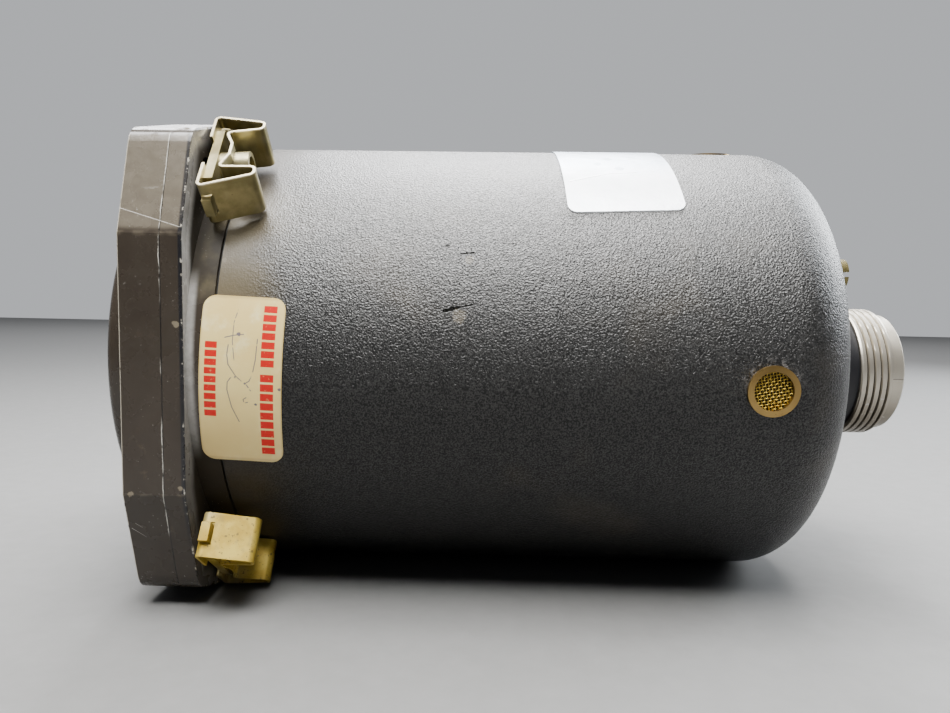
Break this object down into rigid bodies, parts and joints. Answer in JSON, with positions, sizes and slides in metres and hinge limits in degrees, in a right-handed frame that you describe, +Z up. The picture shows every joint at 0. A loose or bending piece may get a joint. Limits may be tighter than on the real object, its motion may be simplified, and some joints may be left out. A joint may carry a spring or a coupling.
{
  "type": "dual tachometer indicator",
  "caption": "Round dual tachometer indicator: square crowned flange, black cup case, clip nuts at the corners, vents and a threaded rear connector, with two coaxial pointers on one dial",
  "frame": {"origin": "on the instrument's axis, in the rear face of the mounting flange, the centre of the four panel screw holes", "axes": "+X along the axis from the dial to the connector, +Y to the left of the dial as its reader sees it, +Z up at the top of the dial"},
  "size_m": [0.14, 0.083, 0.0826],
  "materials": {
    "wrinkle_black": "black wrinkle paint",
    "semi_gloss_black": "semi-gloss black paint",
    "glass": "clear polished glass",
    "rubber": "moulded rubber",
    "dial_black": "matt black with white marks",
    "pointer_white": "matt white paint",
    "cadmium_yellow": "yellow passivated cadmium plate",
    "connector_metal": "dull machined aluminium",
    "neck_black": "dark paint",
    "brass": "dull brass",
    "sticker_cream": "aged paper with plain red blocks",
    "label_foil": "bare satin foil",
    "copper": "enamelled copper wire",
    "aluminium": "machined aluminium",
    "steel": "machined steel"
  },
  "bodies": {
    "instrument": {"bezel": "semi_gloss_black", "case": "wrinkle_black", "case_posts": "steel", "case_screws": "cadmium_yellow", "case_seal": "rubber", "clip_nut_1": "cadmium_yellow", "clip_nut_2": "cadmium_yellow", "clip_nut_3": "cadmium_yellow", "clip_nut_4": "cadmium_yellow", "clip_spring_1": "cadmium_yellow", "clip_spring_2": "cadmium_yellow", "clip_spring_3": "cadmium_yellow", "clip_spring_4": "cadmium_yellow", "connector_boss": "neck_black", "connector_insert": "rubber", "connector_pins": "brass", "connector_shell": "connector_metal", "cover_glass": "glass", "dial": "dial_black", "dial_screws": "steel", "frame_pillars": "steel", "front_plate": "aluminium", "glass_gasket": "rubber", "glass_retainer": "connector_metal", "hairspring_one": "brass", "hairspring_two": "brass", "inspection_sticker": "sticker_cream", "label_plate": "label_foil", "motor_bearings": "steel", "motor_housing_one": "aluminium", "motor_housing_two": "aluminium", "motor_plate": "aluminium", "mounting_flange": "semi_gloss_black", "plate_screws": "steel", "rear_plate": "aluminium", "side_vent_mesh": "brass", "side_vent_rim": "brass", "spring_studs": "brass", "staff_bearings": "brass", "staff_plate": "aluminium", "stator_one": "steel", "stator_two": "steel", "top_vent_mesh": "brass", "top_vent_rim": "brass", "winding_one": "copper", "winding_two": "copper"},
    "movement_rotor_one": {"rotor_one": "steel", "rotor_shaft_one": "steel", "magnet_head_one": "steel"},
    "movement_rotor_two": {"rotor_two": "steel", "rotor_shaft_two": "steel", "magnet_head_two": "steel"},
    "movement_staff_one": {"staff_one": "steel", "drag_disc_one": "aluminium"},
    "movement_staff_two": {"staff_two": "steel", "drag_disc_two": "aluminium"},
    "movement_pointer_one": {"pointer_one": "pointer_white", "pointer_arbor_one": "brass"},
    "movement_pointer_two": {"pointer_two": "pointer_white", "pointer_arbor_two": "brass"}
  },
  "joints": [
    {"name": "rotor_one_spin", "type": "hinge", "parent": "instrument", "child": "movement_rotor_one", "pos_m": [0, 0.0165, 0], "axis": [1, 0, 0], "continuous": true},
    {"name": "pointer_one_turn", "type": "hinge", "parent": "instrument", "child": "movement_pointer_one", "pos_m": [0, 0, 0], "axis": [1, 0, 0], "range_deg": [0, 300], "stiffness_Nm_per_rad": 0.001},
    {"name": "staff_one_turn", "type": "hinge", "parent": "instrument", "child": "movement_staff_one", "pos_m": [0, 0.0165, 0], "axis": [1, 0, 0], "range_deg": [-300, 0]},
    {"name": "rotor_two_spin", "type": "hinge", "parent": "instrument", "child": "movement_rotor_two", "pos_m": [0, -0.0165, 0], "axis": [1, 0, 0], "continuous": true},
    {"name": "pointer_two_turn", "type": "hinge", "parent": "instrument", "child": "movement_pointer_two", "pos_m": [0, 0, 0], "axis": [1, 0, 0], "range_deg": [0, 300], "stiffness_Nm_per_rad": 0.001},
    {"name": "staff_two_turn", "type": "hinge", "parent": "instrument", "child": "movement_staff_two", "pos_m": [0, -0.0165, 0], "axis": [1, 0, 0], "range_deg": [-300, 0]}
  ],
  "couplings": [
    {"joint": "staff_one_turn", "follows": "pointer_one_turn", "ratio": -1},
    {"joint": "staff_two_turn", "follows": "pointer_two_turn", "ratio": -1}
  ]
}
